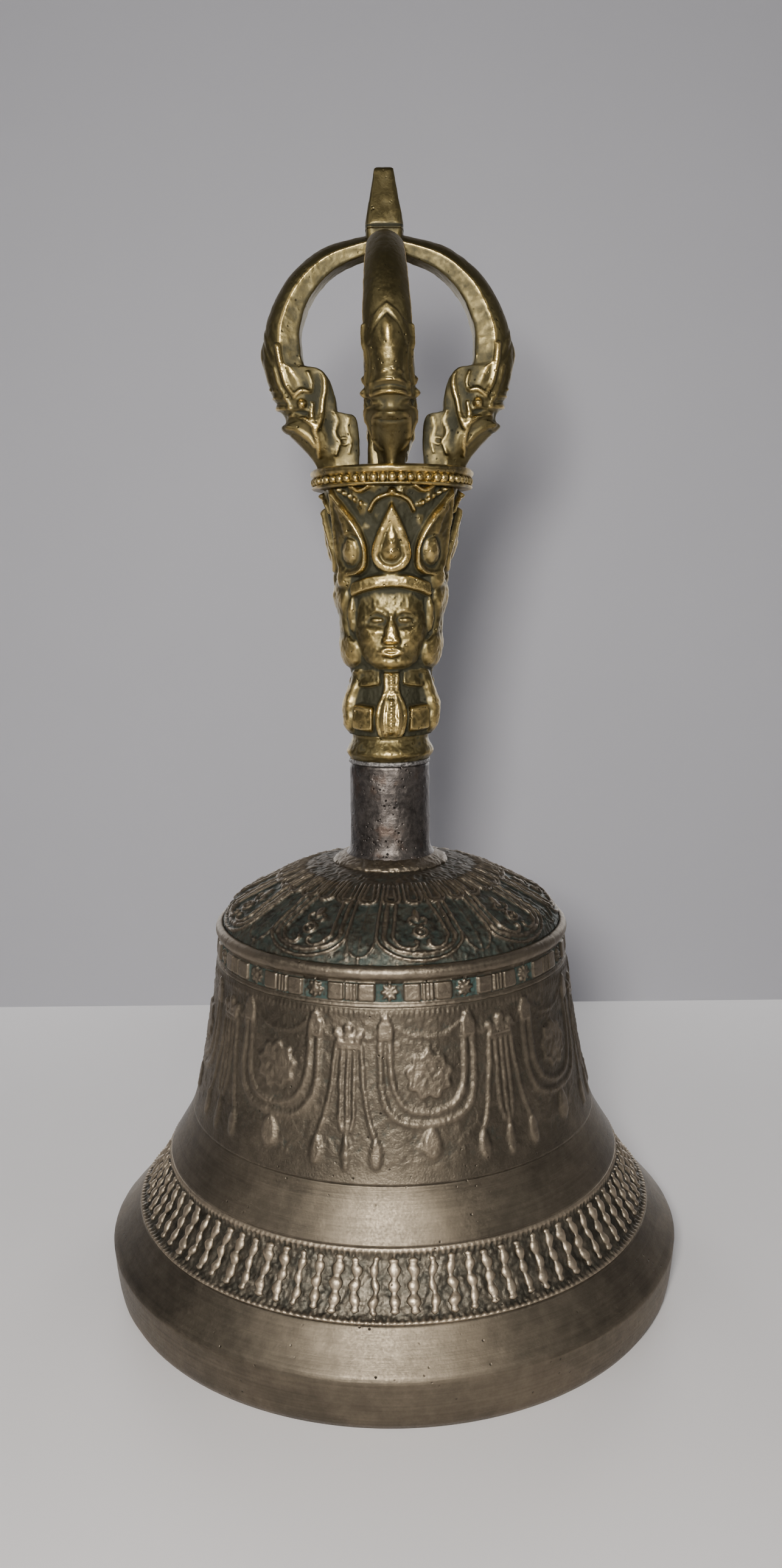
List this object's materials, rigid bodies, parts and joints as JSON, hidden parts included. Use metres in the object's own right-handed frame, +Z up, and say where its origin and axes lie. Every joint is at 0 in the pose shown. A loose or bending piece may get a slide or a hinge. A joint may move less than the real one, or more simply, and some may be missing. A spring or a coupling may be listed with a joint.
{
  "type": "hand bell",
  "caption": "Ritual hand bell: flared cast shell, socketed stem, crowned bust and a cage of bowed prongs for a handle, with an iron clapper hung on a ring link.",
  "frame": {"origin": "centre of the circle that the lip stands on", "axes": "+Z up along the bell's axis, -Y the way the bust faces, +X to the right seen from the front"},
  "size_m": [0.096, 0.096, 0.177],
  "materials": {
    "bell_bronze": "cast bell metal, worn brown patina with verdigris in the relief",
    "handle_brass": "cast brass, polished by handling on the high places and black in the recesses",
    "solder": "dull grey tin solder",
    "wrought_iron": "forged iron, dark and slightly rusted",
    "pitch": "black pitch"
  },
  "bodies": {
    "bell": {"bell_shell": "bell_bronze", "stem_solder_ring": "solder", "neck_collar": "handle_brass", "handle_bust": "handle_brass", "crown_plate": "handle_brass", "prong_right": "handle_brass", "prong_back": "handle_brass", "prong_left": "handle_brass", "prong_front": "handle_brass", "centre_prong": "handle_brass", "hanger_rod": "wrought_iron", "hanger_washer": "wrought_iron", "pitch_packing": "pitch"},
    "link": {"hanger_link": "wrought_iron"},
    "clapper": {"clapper_rod": "wrought_iron", "clapper_striker": "wrought_iron"}
  },
  "joints": [
    {"name": "link_swing", "type": "hinge", "parent": "bell", "child": "link", "pos_m": [0, 0, 0.05912], "axis": [1, 0, 0], "range_deg": [-8, 8]},
    {"name": "clapper_swing", "type": "hinge", "parent": "link", "child": "clapper", "pos_m": [0, 0, 0.05434], "axis": [0, 1, 0], "range_deg": [-38, 38]}
  ]
}
